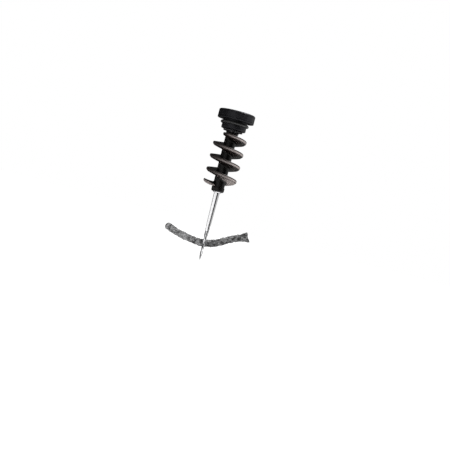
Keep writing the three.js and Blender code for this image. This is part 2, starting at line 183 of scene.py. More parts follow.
def make_camera():
    """Looks along +Y with the tool's top leaning right, and the tool left of and above the centre."""
    lean = math.radians(CAMERA_LEAN)
    right = Vector((math.cos(lean), 0, math.sin(lean)))
    up = Vector((-math.sin(lean), 0, math.cos(lean)))
    back = right.cross(up)
    data = bpy.data.cameras.new("camera")
    data.sensor_width = SENSOR_WIDTH_MM
    data.lens = CAMERA_LENS_MM
    data.clip_start = 0.01
    data.clip_end = 100
    camera = bpy.data.objects.new("camera", data)
    turn = Matrix((right, up, back)).transposed().to_4x4()
    camera.matrix_world = Matrix.Translation(Vector(CAMERA_AIM) + back * CAMERA_DISTANCE) @ turn
    bpy.context.scene.collection.objects.link(camera)
    bpy.context.scene.camera = camera


make_camera()


# --- Mesh helpers ------------------------------------------------------------------------------------

def smooth_line(points, count):
    """count points along a Catmull-Rom curve through the given points, evenly spaced along it."""
    steps_between = 24
    p = np.array(points, float)
    p = np.vstack([2 * p[0] - p[1], p, 2 * p[-1] - p[-2]])
    t = np.linspace(0, 1, steps_between, endpoint=False)[:, None]
    fine = []
    for a, b, c, d in zip(p, p[1:], p[2:], p[3:]):
        fine.append(0.5 * (2 * b + (c - a) * t + (2 * a - 5 * b + 4 * c - d) * t**2
                           + (3 * b - a - 3 * c + d) * t**3))
    fine = np.vstack([*fine, p[-2]])
    along = np.concatenate([[0], np.cumsum(np.linalg.norm(np.diff(fine, axis=0), axis=1))])
    at = np.linspace(0, along[-1], count)
    return np.stack([np.interp(at, along, fine[:, k]) for k in range(fine.shape[1])], axis=1)


def skin(rings, first=0, caps=True):
    """Faces that join closed rings of equal length one after the other, and close both ends."""
    rows, sides = len(rings), len(rings[0])
    faces = []
    for i in range(rows - 1):
        for j in range(sides):
            a, b = first + i * sides + j, first + i * sides + (j + 1) % sides
            faces.append((a, b, b + sides, a + sides))
    if caps:
        faces.append(tuple(range(first + sides - 1, first - 1, -1)))
        last = first + (rows - 1) * sides
        faces.append(tuple(range(last, last + sides)))
    return faces


def mesh_piece(name, points, faces, sharp_degrees=38, weld=1e-4):
    """A new object from points in millimetres: welded, facing out, smooth except at sharp edges."""
    shape = bmesh.new()
    made = [shape.verts.new(p) for p in points]
    for face in faces:
        shape.faces.new([made[i] for i in face])
    bmesh.ops.remove_doubles(shape, verts=shape.verts, dist=weld)
    bmesh.ops.dissolve_degenerate(shape, edges=shape.edges, dist=weld)
    bmesh.ops.recalc_face_normals(shape, faces=shape.faces)
    return finished(name, shape, sharp_degrees)


def finished(name, shape, sharp_degrees=38):
    """Turns a bmesh in millimetres into a scene object in metres."""
    limit = math.radians(sharp_degrees)
    for face in shape.faces:
        face.smooth = True
    for edge in shape.edges:
        edge.smooth = len(edge.link_faces) != 2 or edge.calc_face_angle() < limit
    bmesh.ops.scale(shape, vec=(MM,) * 3, verts=shape.verts)
    mesh = bpy.data.meshes.new(name)
    shape.to_mesh(mesh)
    shape.free()
    piece = bpy.data.objects.new(name, mesh)
    bpy.context.scene.collection.objects.link(piece)
    return piece


def circle(radius, z, sides):
    """Points of a level circle about the Z axis."""
    angles = TURN * np.arange(sides) / sides
    return np.stack([radius * np.cos(angles), radius * np.sin(angles), np.full(sides, z)], axis=1)


def turned(name, profile, sides=128, closed=True):
    """A body turned about the Z axis from (radius, z) points. A closed profile makes a ring."""
    on_axis = 1e-5
    profile = [*profile, profile[0]] if closed else profile
    rings = [circle(max(radius, on_axis), z, sides) for radius, z in profile]
    return mesh_piece(name, np.vstack(rings), skin(rings, caps=False), sharp_degrees=30)


def corner(centre_radius, centre_z, radius, start, stop, steps=6, rise=None):
    """Points on an arc of a profile, between two angles in degrees. With rise, it is that high."""
    rise = radius if rise is None else rise
    angles = np.radians(np.linspace(start, stop, steps + 1))
    return [(centre_radius + radius * math.cos(a), centre_z + rise * math.sin(a)) for a in angles]


def bent(start, bend, stop, shares):
    """Points at the given shares of a curve from start to stop that is drawn towards bend."""
    start, bend, stop = np.array(start), np.array(bend), np.array(stop)
    return [tuple(start * (1 - t) ** 2 + 2 * bend * t * (1 - t) + stop * t * t) for t in shares]


# --- Repair plug -------------------------------------------------------------------------------------

def plug_line(count):
    """The plug's centre line, in millimetres."""
    return smooth_line([(x, 0, NOSE_Z - drop) for x, drop in PLUG_ROUTE], count)


def line_length(line):
    """The length of a line of points."""
    return float(np.linalg.norm(np.diff(line, axis=0), axis=1).sum())


def plug_proud(s, angle, y, z):
    """How far the cord's surface stands out of its smooth oval, s along it and at an angle round it."""
    twist = PLUG_PLIES * (angle - TURN * s / PLUG_LAY) / 2
    plies = 0.34 * (abs(math.cos(twist)) ** 0.6 - 0.72)
    swell = 0.2 * noise.noise(Vector((s * 0.33, 4.2, 1.7))) + 0.1 * noise.noise(Vector((s * 0.9, 1.1, 6.3)))
    lumps = 0.16 * noise.fractal(Vector((s * 0.9, y * 1.6, z * 1.6)) * 1.3, 0.9, 2.1, 4)
    strands = 0.1 * noise.fractal(Vector((s * 0.55 + angle * 0.8, angle * 5, 9.0)), 0.8, 2.3, 3)
    return plies + lumps + strands + swell


def plug_surface():
    """Rings of a twisted, lumpy cord, rounded at its left end and spread and ragged at its right end."""
    steps, sides = 420, 72
    line = plug_line(steps)
    forward = np.gradient(line, axis=0)
    forward /= np.linalg.norm(forward, axis=1)[:, None]
    length = line_length(line)
    across = np.array([0.0, 1.0, 0.0])
    rings = []
    for i, (centre, ahead) in enumerate(zip(line, forward)):
        s = length * i / (steps - 1)
        up = np.cross(ahead, across)
        up = up if up[2] > 0 else -up
        start = min(s / PLUG_ROUND_END, 1)
        round_end = math.sqrt(max(1 - (1 - start) ** 2, 0.0004))
        flare = max(0.0, 1 - (length - s) / PLUG_SPREAD_END)
        tall = PLUG_HALF_HEIGHT * round_end * (1 - 0.1 * math.sin(math.pi * flare)) + 1.15 * flare**1.1
        wide = PLUG_HALF_WIDTH * round_end * (1 - 0.22 * flare)
        points = []
        for j in range(sides):
            angle = TURN * j / sides
            y, z = math.sin(angle), math.cos(angle)
            proud = plug_proud(s, angle, y, z) * round_end
            proud_wide = max(-0.25, min(0.2, proud * 0.8))
            ragged = 0.4 * noise.noise(Vector((z * 2.4, 3.3, 8.1)))
            tail = flare**2 * (abs(z) ** 1.5 * 0.1 - 0.45 * z + ragged)
            sideways, upwards = y * (wide + proud_wide), z * (tall + proud) - 0.15 * flare
            points.append(centre + across * sideways + up * upwards + ahead * tail)
        rings.append(points)
    return np.array(rings)


def fibre(root, along, out, pick):
    """Points of one tapered fibre that leaves root nearly along the cord and curls aside."""
    sideways = np.cross(along, out)
    drift = sideways * pick.uniform(-0.7, 0.7)
    reach = pick.uniform(0.5, 1.5)
    stand = pick.uniform(0.05, 0.12) + (1 - abs(out[1])) * pick.uniform(0.02, 0.28)
    thick = pick.uniform(0.022, 0.036)
    curl = pick.uniform(-0.25, 0.25)
    points = []
    for i in range(FIBRE_SEGMENTS + 1):
        u = i / FIBRE_SEGMENTS
        rise = stand * math.sin(math.pi * min(u, 0.62)) - 0.05
        centre = root + (along + drift) * reach * u + out * rise + sideways * curl * u * u
        radius = thick * (1 - 0.75 * u)
        for j in range(FIBRE_SIDES):
            angle = TURN * j / FIBRE_SIDES
            points.append(centre + out * radius * math.cos(angle) + sideways * radius * math.sin(angle))
    return points


def plug_fibres(rings):
    """Fine loose fibres all over the cord's surface, more of them at its right end, as points and faces."""
    pick = np.random.default_rng(FIBRE_SEED)
    centres = rings.mean(axis=1)
    rows, sides = rings.shape[:2]
    points, faces = [], []
    for k in range(PLUG_FIBRES):
        at_end = k % 5 == 0
        row = int(pick.integers(rows - 30, rows - 2) if at_end else pick.integers(6, rows - 8))
        root = rings[row, int(pick.integers(0, sides))]
        out = root - centres[row]
        out /= np.linalg.norm(out)
        along = centres[min(row + 4, rows - 1)] - centres[max(row - 4, 0)]
        along /= np.linalg.norm(along)
        if not at_end and pick.random() < 0.5:
            along = -along
        faces += skin([[0] * FIBRE_SIDES] * (FIBRE_SEGMENTS + 1), first=len(points))
        points += fibre(root, along, out, pick)
    return points, faces


def make_repair_plug():
    """The plug: its lumpy surface and its loose fibres in one mesh."""
    rings = plug_surface()
    fibres, fibre_faces = plug_fibres(rings)
    points = np.vstack([rings.reshape(-1, 3), fibres])
    first = rings.shape[0] * rings.shape[1]
    faces = skin(rings) + [tuple(first + i for i in face) for face in fibre_faces]
    plug = mesh_piece("plug_cord", points, faces, sharp_degrees=80, weld=1e-6)
    line = plug_line(60)
    length = line_length(line)
    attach(plug, "plug")
    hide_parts("repair_plug")
    return plug


# --- Spiral sleeve -----------------------------------------------------------------------------------

def smoothstep(t):
    """0 up to t = 0, 1 from t = 1, and a smooth step between them."""
    t = min(max(t, 0), 1)
    return t * t * (3 - 2 * t)


def flight_hang(turn):
    """How far the soft flight hangs below an even spiral. It sinks over its last turn, then levels out."""
    slow = smoothstep(turn / FLIGHT_SLOW_HANG_TURNS + 1)
    hang = FLIGHT_HANG * (slow + smoothstep(turn / FLIGHT_QUICK_HANG_TURNS))
    level = smoothstep((turn - FLIGHT_LEVEL_FROM) / FLIGHT_LEVEL_TURNS)
    return hang * (1 - level) - FLIGHT_END_RISE * level


def flight_profile(reach, hang):
    """One pitch of the sleeve's outside, as (radius, height), from below the flight to above it.

    reach is 1 for the whole flight and 0 where it has run out into the tube. The flight is thicker at
    its root, dished upwards, bevelled below at its rim and filleted into the tube.
    """
    span = (FLIGHT_RADIUS - SLEEVE_RADIUS) * reach
    thin = reach**0.5
    fillet = 0.75 * thin
    root_half, rim_half = FLIGHT_ROOT_THICKNESS / 2 * thin, FLIGHT_RIM_THICKNESS / 2 * thin
    bevel, lip, crest = FLIGHT_RIM_BEVEL * reach, 0.3 * reach, 0.2 * rim_half
    root_share = min(fillet / span, 0.5) if span > 0 else 0

    def middle(share):
        return FLIGHT_DISH * ((share * reach) ** 2 - 1) - hang

    def side(sign, depth):
        """The tube, the fillet and the flight's face below (-1) or above (1), up to depth from the rim."""
        shares = np.linspace(root_share, (span - depth) / span if span > 0 else 1, 12)
        halves = root_half * (1 - shares) + rim_half * shares
        face = [(SLEEVE_RADIUS + span * u, middle(u) + sign * half) for u, half in zip(shares, halves)]
        start = (SLEEVE_RADIUS, middle(0) + sign * (root_half + fillet))
        bend = (SLEEVE_RADIUS, middle(0) + sign * root_half)
        curve = bent(start, bend, face[0], np.linspace(0, 1, 6, endpoint=False))
        heights = np.linspace(sign * FLIGHT_PITCH / 2, start[1], 6, endpoint=False)
        return [(SLEEVE_RADIUS, z) for z in heights] + curve + face

    edge, rim_z = SLEEVE_RADIUS + span, middle(1) + crest
    below = corner(edge - bevel, rim_z, bevel, -90, 0, 9, rise=rim_half + crest)[1:]
    above = corner(edge - lip, rim_z, lip, 0, 90, 6, rise=rim_half - crest)[1:-1]
    return np.array(side(-1, bevel) + below + above + side(1, lip)[::-1])


def flight_strip(sides, tube_low, tube_high):
    """Points of a left-handed spiral strip, one pitch tall, whose turns join edge to edge."""
    spare_turns = 1.3
    low_turn = 0.5 + RUN_OUT_TURN
    high_turn = 0.5 - (tube_high - 0.6 - FLIGHT_LOWEST_LEFT_Z) / FLIGHT_PITCH
    first_row = math.floor((high_turn - spare_turns) * sides)
    last_row = math.ceil((low_turn + spare_turns) * sides)
    strip = []
    for row in range(first_row, last_row + 1):
        turn = row / sides
        end = min(turn - high_turn, low_turn - turn) / RUN_OUT_TURN
        end = min(max(end, 0), 1)
        profile = flight_profile(math.sqrt(end * (2 - end)), flight_hang(turn))
        angle = TURN * turn
        middle = FLIGHT_LOWEST_LEFT_Z - (turn - 0.5) * FLIGHT_PITCH
        radius, z = profile[:, 0], np.clip(profile[:, 1] + middle, tube_low, tube_high)
        strip.append(np.stack([radius * math.cos(angle), radius * math.sin(angle), z], axis=1))
    return strip


def collar_profile(tube_low, tube_high):
    """The collar at the nose, the bore and the small collar at the top, as (radius, z)."""
    bore, nose = CORE_RADIUS + GAP, NOSE_ROUNDING
    return [
        (SLEEVE_RADIUS, tube_low), (SLEEVE_RADIUS + 0.12, tube_low - 0.06),
        *corner(COLLAR_RADIUS - 0.18, tube_low - 0.3, 0.18, 80, 0, 4),
        (COLLAR_RADIUS, tube_low - 0.9), (COLLAR_RADIUS, NOSE_Z + 1.4),
        *corner(COLLAR_RADIUS - nose, NOSE_Z + nose, nose, 0, -90, 10),
        (bore, NOSE_Z + 0.08), (bore, NOSE_Z + 2), (bore, SLEEVE_TOP_Z),
        (COLLAR_RADIUS - 0.2, SLEEVE_TOP_Z), (COLLAR_RADIUS, SLEEVE_TOP_Z - 0.2),
        (COLLAR_RADIUS, SLEEVE_TOP_Z - 0.7), (SLEEVE_RADIUS, tube_high),
    ]


def make_helix_sleeve():
    """The tube with its spiral flight and the collars at its two ends, as one closed skin."""
    sides = 120
    tube_low, tube_high = NOSE_Z + COLLAR_HEIGHT, SLEEVE_TOP_Z - TOP_COLLAR_HEIGHT
    strip = flight_strip(sides, tube_low, tube_high)
    columns = len(strip[0])
    faces = [
        (i * columns + j, (i + 1) * columns + j, (i + 1) * columns + j + 1, i * columns + j + 1)
        for i in range(len(strip) - 1) for j in range(columns - 1)
    ]
    rings = [circle(radius, z, sides) for radius, z in collar_profile(tube_low, tube_high)]
    faces += skin(rings, first=len(strip) * columns, caps=False)
    sleeve = mesh_piece("spiral_sleeve", np.vstack([*strip, *rings]), faces, sharp_degrees=50, weld=2e-3)
    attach(sleeve, "tool")
    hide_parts("helix_sleeve")
    return sleeve


# --- Needle ------------------------------------------------------------------------------------------

def needle_stations():
    """The needle's outline, as (drop below the nose, half width along X, half width along Y)."""
    top, low, length = SLOT_TOP_DROP, SLOT_LOW_DROP, NOSE_Z - NEEDLE_TIP_Z
    eye_half = SLOT_HALF + TINE_THICKNESS
    return [
        (0, NEEDLE_TOP_RADIUS, NEEDLE_TOP_RADIUS),
        (12, 1.5, 1.5),
        (top - 4, NEEDLE_WAIST_RADIUS, NEEDLE_WAIST_RADIUS),
        (top - 2, 1.22, 1.45),
        (top, 1.12, 2),
        (top + 2, TINE_HALF_WIDTH, eye_half),
        (EYE_DROP + 1, TINE_HALF_WIDTH, eye_half),
        (low - 1.4, 0.96, eye_half - 0.25),
        (low + 0.6, 0.9, 1.6),
        (low + 2.6, 0.78, 1.05),
        (length - 2, 0.56, 0.72),
        (length - 0.5, 0.3, 0.42),
    ]


def needle_rings(sides=72):
    """The needle's rings from its hidden shank down to its tip, without the eye."""
    angles = TURN * np.arange(sides) / sides

    def outline(half_x, half_y, z):
        """Round where the two halves are equal, and squarer the flatter it is."""
        power = 1 - BLADE_SQUARENESS * min(max(half_y / half_x - 1, 0), 1)
        x, y = (np.sign(v) * np.abs(v) ** power for v in (np.cos(angles), np.sin(angles)))
        return np.stack([half_x * x, half_y * y, np.full(sides, z)], axis=1)

    shank = [
        (SHANK_RADIUS - SHANK_CHAMFER, SHANK_TOP_Z), (SHANK_RADIUS, SHANK_TOP_Z - SHANK_CHAMFER),
        (SHANK_RADIUS, NOSE_Z + SHOULDER_RISE), (NEEDLE_TOP_RADIUS, NOSE_Z + SHOULDER_RISE - 0.3),
    ]
    rings = [outline(radius, radius, z) for radius, z in shank]
    for drop, half_x, half_y in smooth_line(needle_stations(), 150):
        rings.append(outline(half_x, half_y, NOSE_Z - drop))
    rings.append(outline(0.16, 0.38, NEEDLE_TIP_Z + 0.12))
    rings.append(outline(0.04, 0.33, NEEDLE_TIP_Z))
    return rings


def eye_outline(grow):
    """The eye and the slit below it in the YZ plane, as (y, z), grown outwards by grow."""
    half, slit = SLOT_HALF + grow, TIP_SLIT_HALF + grow
    top, low = NOSE_Z - SLOT_TOP_DROP - SLOT_HALF, NOSE_Z - SLOT_LOW_DROP
    neck_top, neck_bend, neck_low = low + 1.2, low - 0.5, low - 1.5
    beyond_tip = NEEDLE_TIP_Z - 1
    neck = bent((half, neck_top), (half, neck_bend), (slit, neck_low), np.linspace(0, 1, 13))
    right = [(half, z) for z in np.linspace(top, neck_top, 8, endpoint=False)] + neck
    right += [(slit, z) for z in np.linspace(neck_low, beyond_tip, 8)[1:]]
    arch = corner(0, top, half, 180, 0, 32)[:-1]
    left = [(-y, z) for y, z in right[:0:-1]]
    return np.array(arch + right + left)


def eye_cutter():
    """A prism along X with the eye's outline, widened where it leaves the needle, to round the edges."""
    edge = EYE_EDGE_ROUNDING
    stations = [(3, edge), (1.15, edge), (0.98, 0.1), (0.86, 0.05), (0.74, 0.015), (0.6, 0)]
    stations += [(-x, grow) for x, grow in reversed(stations)]
    rings = []
    for x, grow in stations:
        outline = eye_outline(grow)
        rings.append(np.insert(outline, 0, x, axis=1))
    return rings


def cut(body_rings, cutter_rings):
    """The first skinned body less the second, as a bmesh in millimetres."""
    pair = []
    for name, rings in (("body", body_rings), ("cutter", cutter_rings)):
        shape = bmesh.new()
        made = [shape.verts.new(p) for p in np.vstack(rings)]
        for face in skin(rings):
            shape.faces.new([made[i] for i in face])
        bmesh.ops.recalc_face_normals(shape, faces=shape.faces)
        mesh = bpy.data.meshes.new(name)
        shape.to_mesh(mesh)
        shape.free()
        pair.append(bpy.data.objects.new(name, mesh))
        bpy.context.scene.collection.objects.link(pair[-1])
    body, cutter = pair
    modifier = body.modifiers.new("cut", "BOOLEAN")
    modifier.operation = "DIFFERENCE"
    modifier.solver = "EXACT"
    modifier.object = cutter
    bpy.context.view_layer.update()
    result = bmesh.new()
    result.from_object(body, bpy.context.evaluated_depsgraph_get())
    for o in pair:
        bpy.data.objects.remove(o)
    return result


def make_needle():
    """The needle with its eye and the slit through its tip."""
    shape = cut(needle_rings(), eye_cutter())
    piece = finished("needle_fork", shape, sharp_degrees=42)
    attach(piece, "tool")
    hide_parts("needle")
    return piece


# --- Cap and small turned pieces ---------------------------------------------------------------------

def cap_side():
    """The flange's outside, from its lower corner to its upper one, with a fine line near each."""
    half, floor = CAP_LINE_DEPTH, CAP_RADIUS - CAP_LINE_DEPTH
    side = [
        (CAP_RADIUS - 0.45, CAP_UNDERSIDE_Z),
        *corner(CAP_RADIUS - 0.3, CAP_UNDERSIDE_Z + 0.3, 0.3, -90, 0),
    ]
    for z in CAP_LINE_HEIGHTS:
        side += [
            (CAP_RADIUS, z - half), (floor, z - half * 0.4),
            (floor, z + half * 0.4), (CAP_RADIUS, z + half),
        ]
    return side + corner(CAP_RADIUS - CAP_EDGE_RADIUS, -CAP_EDGE_RADIUS, CAP_EDGE_RADIUS, 0, 90, 12)


def make_cap():
    """The bar-end cap: spigot with its groove, flange with a relieved seat, and stepped bore."""
    groove_floor, groove_half = SPIGOT_RADIUS - O_RING_DEPTH, O_RING_RADIUS + O_RING_SIDE_GAP
    seat_inner, relief_z = O_RING_CENTRE_RADIUS + O_RING_RADIUS + GAP, CAP_UNDERSIDE_Z + SEAT_RELIEF
    bore, pocket = CORE_RADIUS + GAP, DISC_RADIUS + GAP
    edge = SPIGOT_EDGE_RADIUS
    profile = [
        (bore + 0.15, CAP_LOW_Z), *corner(SPIGOT_RADIUS - edge, CAP_LOW_Z + edge, edge, -90, 0),
        (SPIGOT_RADIUS, O_RING_Z - groove_half), (groove_floor, O_RING_Z - groove_half + 0.05),
        (groove_floor, O_RING_Z + groove_half - 0.05), (SPIGOT_RADIUS, O_RING_Z + groove_half),
        (SPIGOT_RADIUS, relief_z - 0.15), (SPIGOT_RADIUS + 0.15, relief_z),
        (seat_inner, relief_z), (seat_inner, CAP_UNDERSIDE_Z + 0.05),
        (seat_inner + 0.05, CAP_UNDERSIDE_Z), *cap_side(),
        (pocket + 0.15, 0), (pocket, -0.12), (pocket, DISC_SEAT_Z),
        (SCREW_HEAD_BORE_RADIUS, DISC_SEAT_Z), (SCREW_HEAD_BORE_RADIUS, SCREW_HEAD_SEAT_Z),
        (SCREW_BORE_RADIUS, SCREW_HEAD_SEAT_Z), (SCREW_BORE_RADIUS, CORE_BORE_TOP_Z),
        (bore, CORE_BORE_TOP_Z), (bore, CAP_LOW_Z + 0.15),
    ]
    cap = turned("bar_end_cap", profile, sides=160)
    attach(cap, "tool")
    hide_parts("end_cap")
    return cap


def make_disc():
    """A plain disc with a fine line round its face, near the edge."""
    edge, face, line = DISC_EDGE_RADIUS, -DISC_THICKNESS, -DISC_LINE_DEPTH
    profile = [
        (0, face), (DISC_RADIUS - 0.1, face), (DISC_RADIUS, face + 0.1), (DISC_RADIUS, -edge),
        *corner(DISC_RADIUS - edge, -edge, edge, 0, 90, 5), (DISC_RADIUS - 0.9, 0),
        (DISC_RADIUS - 1, line), (DISC_RADIUS - 1.16, line), (DISC_RADIUS - 1.26, 0), (0, 0),
    ]
    disc = turned("cap_insert", profile, closed=False)
    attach(disc, "tool")
    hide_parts("cap_disc")
    return disc


def make_o_ring():
    """The rubber ring in the spigot's groove."""
    profile = corner(O_RING_CENTRE_RADIUS, O_RING_Z, O_RING_RADIUS, -180, 180, 32)[:-1]
    seal = turned("seal_ring", profile, sides=160)
    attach(seal, "tool")
    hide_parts("cap_o_ring")
    return seal


def make_ferrule():
    """The small steel ring in the mouth of the collar, round the needle."""
    inner, face, top = NEEDLE_TOP_RADIUS + GAP, edge_mm("nose_ferrule", 0), edge_mm("nose_ferrule", 1)
    edge = FERRULE_ROUNDING
    profile = [
        (inner, face + 0.25), (inner + 0.05, face + 0.08), (inner + 0.14, face),
        *corner(CORE_RADIUS - edge, face + edge, edge, -90, 0, 8), (CORE_RADIUS, top), (inner, top),
    ]
    ferrule = turned("nose_ring", profile, sides=96)
    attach(ferrule, "tool")
    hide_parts("nose_ferrule")
    return ferrule


def make_washer():
    """The thin ring between the sleeve's top and the cap."""
    bore, low, high = CORE_RADIUS + GAP, SLEEVE_TOP_Z + GAP, CAP_LOW_Z - GAP
    edge, middle = WASHER_EDGE_RADIUS, WASHER_RADIUS - WASHER_EDGE_RADIUS
    profile = [
        (bore, low), *corner(middle, low + edge, edge, -90, 0, 4),
        *corner(middle, high - edge, edge, 0, 90, 4), (bore, high),
    ]
    washer = turned("stop_washer", profile, sides=96)
    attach(washer, "tool")
    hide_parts("sleeve_washer")
    return washer


# --- Materials ---------------------------------------------------------------------------------------

class Look:
    """A node material, built one node at a time."""

    def __init__(self, name, **values):
        self.material = bpy.data.materials.new(name)
        self.material.use_nodes = True
        self.tree = self.material.node_tree
        self.shader = self.tree.nodes["Principled BSDF"]
        for socket, value in values.items():
            self.shader.inputs[socket.replace("_", " ")].default_value = value

    def node(self, kind, settings=None, **inputs):
        """A new node. An input is given by name, or as i0, i1 by number, as a value or as a socket."""
        made = self.tree.nodes.new("ShaderNode" + kind)
        for key, value in (settings or {}).items():
            setattr(made, key, value)
        for key, value in inputs.items():
            by_number = key[0] == "i" and key[1:].isdigit()
            self.feed(made.inputs[int(key[1:]) if by_number else key.replace("_", " ")], value)
        return made

    def feed(self, socket, value):
        if isinstance(value, bpy.types.NodeSocket):
            self.tree.links.new(value, socket)
        else:
            socket.default_value = value

    def place(self, scale=(1, 1, 1)):
        """Object coordinates in millimetres, multiplied by scale."""
        where = self.node("TexCoord").outputs["Object"]
        return self.node("Mapping", Vector=where, Scale=[k / MM for k in scale]).outputs["Vector"]

    def slanted(self, degrees, scale):
        """Object coordinates in millimetres, turned about Y and then multiplied by scale."""
        where = self.node("TexCoord").outputs["Object"]
        made = self.node(
            "Mapping", {"vector_type": "TEXTURE"}, Vector=where,
            Rotation=(0, math.radians(degrees), 0), Scale=[MM / k for k in scale],
        )
        return made.outputs["Vector"]

    def noise(self, where, scale, detail=4, roughness=0.5):
        """Cloudy noise from 0 to 1."""
        made = self.node("TexNoise", Vector=where, Scale=scale, Detail=detail, Roughness=roughness)
        return made.outputs["Fac"]

    def range(self, value, low, high, to_low, to_high):
        """The value, with low to high stretched to to_low to to_high and cut off at both ends."""
        ends = {"From_Min": low, "From_Max": high, "To_Min": to_low, "To_Max": to_high}
        return self.node("MapRange", Value=value, **ends).outputs["Result"]

    def math(self, operation, first, second=0.0):
        return self.node("Math", {"operation": operation}, i0=first, i1=second).outputs["Value"]

    def product(self, first, *others):
        for other in others:
            first = self.math("MULTIPLY", first, other)
        return first

    def sum(self, *weighted):
        """The sum of (weight, value) pairs."""
        first, *others = (self.math("MULTIPLY", value, weight) for weight, value in weighted)
        for other in others:
            first = self.math("ADD", first, other)
        return first

    def blend(self, factor, first, second):
        """A mix of two colours. The Mix node's colours are its inputs 6 and 7 and its output 2."""
        made = self.node("Mix", {"data_type": "RGBA"}, Factor=factor)
        for key, value in ((6, first), (7, second)):
            is_colour = isinstance(value, tuple)
            self.feed(made.inputs[key], (*value, 1) if is_colour else value)
        return made.outputs[2]

    def axes(self, vector):
        """A vector's X, Y and Z, as sockets."""
        return self.node("SeparateXYZ", Vector=vector).outputs

    def radius(self):
        """Distance from the tool's axis, in millimetres."""
        flat = self.place((1, 1, 0))
        return self.node("VectorMath", {"operation": "LENGTH"}, i0=flat).outputs["Value"]

    def bump(self, height, distance, strength=1.0):
        made = self.node("Bump", Height=height, Distance=distance * MM, Strength=strength)
        self.set("Normal", made.outputs["Normal"])

    def set(self, socket, value):
        self.tree.links.new(value, self.shader.inputs[socket])


def sleeve_wear_and_light(look, scuff):
    """How pale the sleeve is painted: below its flights' rims, under its lowest turn, and at its flight's
    end.

    This is partly wear and partly painted light. The undersides are painted as lit from below, and the
    whole is painted brighter to the right, as light falling from that side. None is on the tube.
    """
    radius = look.radius()
    across, _, height = look.axes(look.place())
    facing = look.axes(look.node("NewGeometry").outputs["Normal"])["Z"]
    uneven = look.math("ADD", radius, look.range(scuff, 0.3, 0.7, -0.08, 0.08))
    # Pale below the flights' rims: partly wear, partly painted sheen and light from below.
    rim = look.product(
        look.range(uneven, FLIGHT_RADIUS - 0.55, FLIGHT_RADIUS - 0.2, 0, 1),
        look.range(facing, 0.1, -0.05, 0, 1),
    )
    # Painted light: the underside of the lowest turn is painted pale, as lit from below.
    under = look.product(
        look.range(height, NOSE_Z + 9.5, NOSE_Z + 7.5, 0, 1), look.range(facing, -0.25, -0.6, 0, 1),
        look.range(radius, SLEEVE_RADIUS + 0.55, SLEEVE_RADIUS + 1.55, 0, 1),
        look.range(radius, FLIGHT_RADIUS - 0.9, FLIGHT_RADIUS - 0.5, 1, 0.4),
    )
    # Painted light: the lower side of the flight's end is painted pale, as lit from below.
    end = look.product(
        look.range(height, NOSE_Z + 6.5, NOSE_Z + 5.7, 0, 0.8), look.range(facing, 0.3, 0, 0, 1),
        look.range(radius, SLEEVE_RADIUS + 0.75, SLEEVE_RADIUS + 1.55, 0, 1),
    )
    # Painted light: the pale marks are painted brighter to the right, as light from that side.
    to_right = look.range(across, -6, 6, 0.05, 1)
    return look.math("MAXIMUM", look.product(look.math("MAXIMUM", rim, under), to_right), end)


def sleeve_look():
    """Glossy black core with dark brown flights, painted pale at the rims, under the lowest turn and at the
    flight's end: partly wear, partly painted light.
    """
    look = Look("dark_elastomer", Specular_IOR_Level=0.25)
    cloud = look.noise(look.place(), 0.35, 5)
    scuff = look.noise(look.place((1, 1, 3)), 1.4, 6, 0.6)
    flight = look.range(look.radius(), SLEEVE_RADIUS + 0.4, SLEEVE_RADIUS + 1.6, 0, 1)
    brown = look.blend(cloud, (0.008, 0.0057, 0.0053), (0.016, 0.0117, 0.0107))
    tone = look.blend(flight, (0.003, 0.0024, 0.0022), brown)
    # The pale colour of the wear and of the painted light.
    pale_wear_and_light = look.blend(scuff, (0.17, 0.146, 0.138), (0.29, 0.255, 0.245))
    look.set("Base Color", look.blend(sleeve_wear_and_light(look, scuff), tone, pale_wear_and_light))
    look.set("Roughness", look.range(scuff, 0.3, 0.8, 0.2, 0.34))
    look.bump(look.sum((1, cloud), (0.06, scuff)), 0.03)
    return look.material


def steel_look(name, tone, grain, rough_low, rough_high):
    """Polished steel with fine grinding marks round the axis and long, faint scratches."""
    look = Look(name, Metallic=1.0)
    rings = look.noise(look.place((0.5, 0.5, grain)), 1, 6, 0.65)
    streaks = look.noise(look.place((6, 6, 0.25)), 1, 5, 0.6)
    look.set("Base Color", look.blend(streaks, tuple(0.86 * t for t in tone), tone))
    mixed = look.sum((0.6, rings), (0.4, streaks))
    look.set("Roughness", look.range(mixed, 0.3, 0.7, rough_low, rough_high))
    look.bump(mixed, 0.012)
    return look.material


def anodised_look(name, dark, light, rough):
    """Black anodised aluminium with fine turning marks and faint paler specks."""
    look = Look(name, Metallic=0.75)
    marks = look.noise(look.place((0.6, 0.6, 14)), 1, 5, 0.6)
    specks = look.noise(look.place(), 2.2, 6, 0.7)
    look.set("Base Color", look.blend(look.range(specks, 0.35, 0.75, 0, 1), dark, light))
    look.set("Roughness", look.range(marks, 0.3, 0.7, rough - 0.06, rough + 0.08))
    look.bump(marks, 0.01)
    return look.material


def rubber_look(name, tone, rough):
    """Satin rubber or plastic with a fine grain and faint clouds of tone."""
    look = Look(name)
    grain = look.noise(look.place(), 5, 8, 0.7)
    cloud = look.noise(look.place(), 0.5, 3)
    look.set("Base Color", look.blend(cloud, tuple(0.7 * t for t in tone), tuple(1.3 * t for t in tone)))
    look.set("Roughness", look.range(grain, 0.3, 0.7, rough - 0.08, rough + 0.1))
    look.bump(grain, 0.03)
    return look.material


